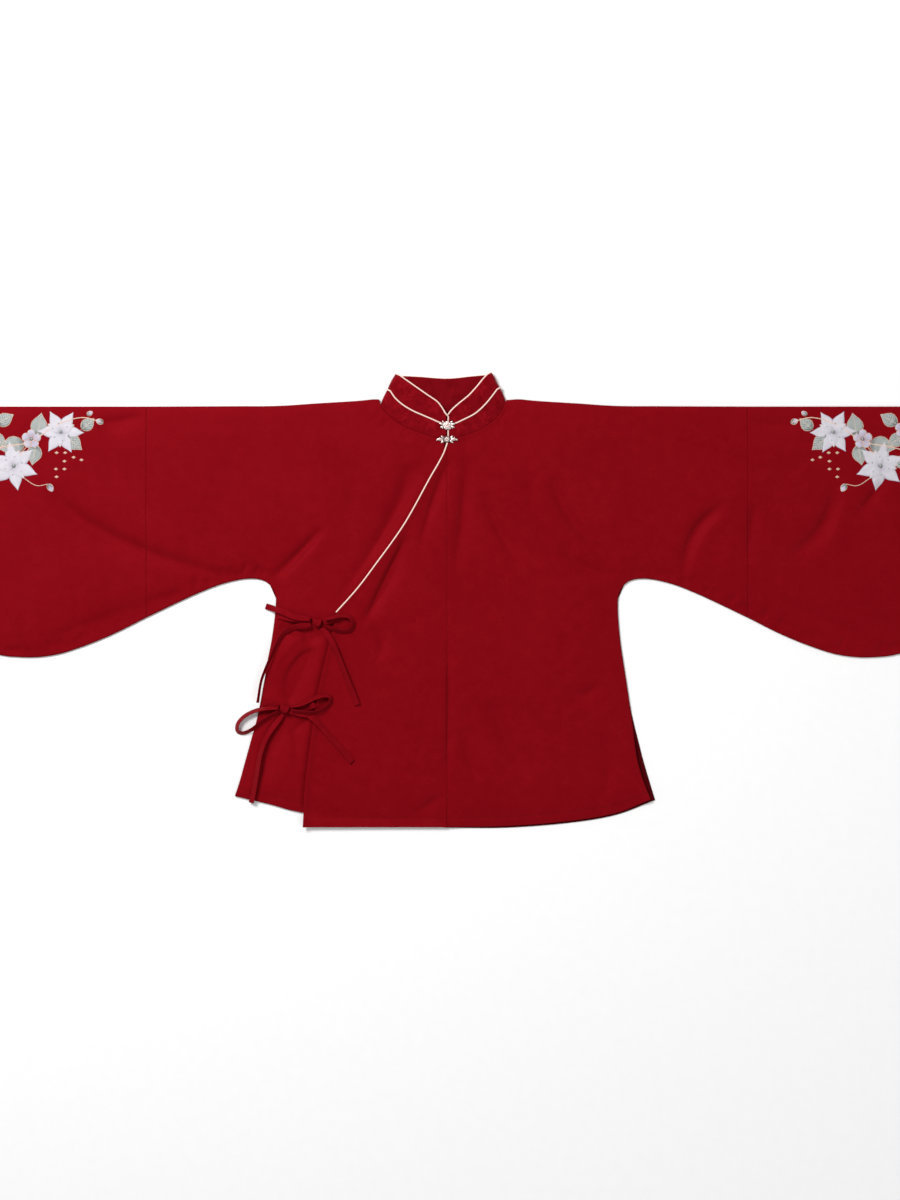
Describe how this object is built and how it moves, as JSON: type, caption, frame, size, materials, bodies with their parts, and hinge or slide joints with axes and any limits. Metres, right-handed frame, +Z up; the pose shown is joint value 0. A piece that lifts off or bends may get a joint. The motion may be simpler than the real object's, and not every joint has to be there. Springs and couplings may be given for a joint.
{
  "type": "stand-collar wrap jacket with lute-shaped sleeves",
  "caption": "Short red satin wrap jacket lying flat, with a stand collar, very full curved sleeves, cream piping, metal collar clasps and two side bows.",
  "frame": {"origin": "middle of the jacket's outline on the surface it lies on", "axes": "+X to the wearer's left along the sleeves, +Y from hem to collar, +Z up, away from the surface"},
  "size_m": [1.88, 0.6989, 0.0171],
  "materials": {
    "red_satin": "crimson satin jacquard, soft sheen",
    "red_collar_cloth": "crimson satin over a stiff interlining",
    "red_tie_cloth": "crimson satin tie",
    "gold_cord": "cream and gold corded piping",
    "silver_metal": "silver-coloured cast metal, slightly aged"
  },
  "bodies": {
    "root": {"body_left": "red_satin", "body_right": "red_satin", "sleeve_left": "red_satin", "sleeve_right": "red_satin", "wrap": "red_satin", "collar_lower": "red_collar_cloth", "collar_upper": "red_collar_cloth", "piping_collar_middle_left": "gold_cord", "piping_collar_middle_right": "gold_cord", "piping_collar_top": "gold_cord", "piping_collar_front": "gold_cord", "piping_wrap": "gold_cord", "clasp_upper_flower": "silver_metal", "clasp_upper_leaves_left": "silver_metal", "clasp_upper_leaves_right": "silver_metal", "clasp_lower_flower": "silver_metal", "clasp_lower_leaves_left": "silver_metal", "clasp_lower_leaves_right": "silver_metal", "knot_upper": "red_tie_cloth", "knot_lower": "red_tie_cloth", "tie_upper_side": "red_tie_cloth", "tie_upper_wrap": "red_tie_cloth", "tie_upper_tail_left": "red_tie_cloth", "tie_upper_tail_right": "red_tie_cloth", "tie_upper_loop_left": "red_tie_cloth", "tie_upper_loop_right": "red_tie_cloth", "tie_lower_side": "red_tie_cloth", "tie_lower_wrap": "red_tie_cloth", "tie_lower_tail_left": "red_tie_cloth", "tie_lower_tail_right": "red_tie_cloth", "tie_lower_loop_left": "red_tie_cloth", "tie_lower_loop_right": "red_tie_cloth"}
  },
  "joints": []
}
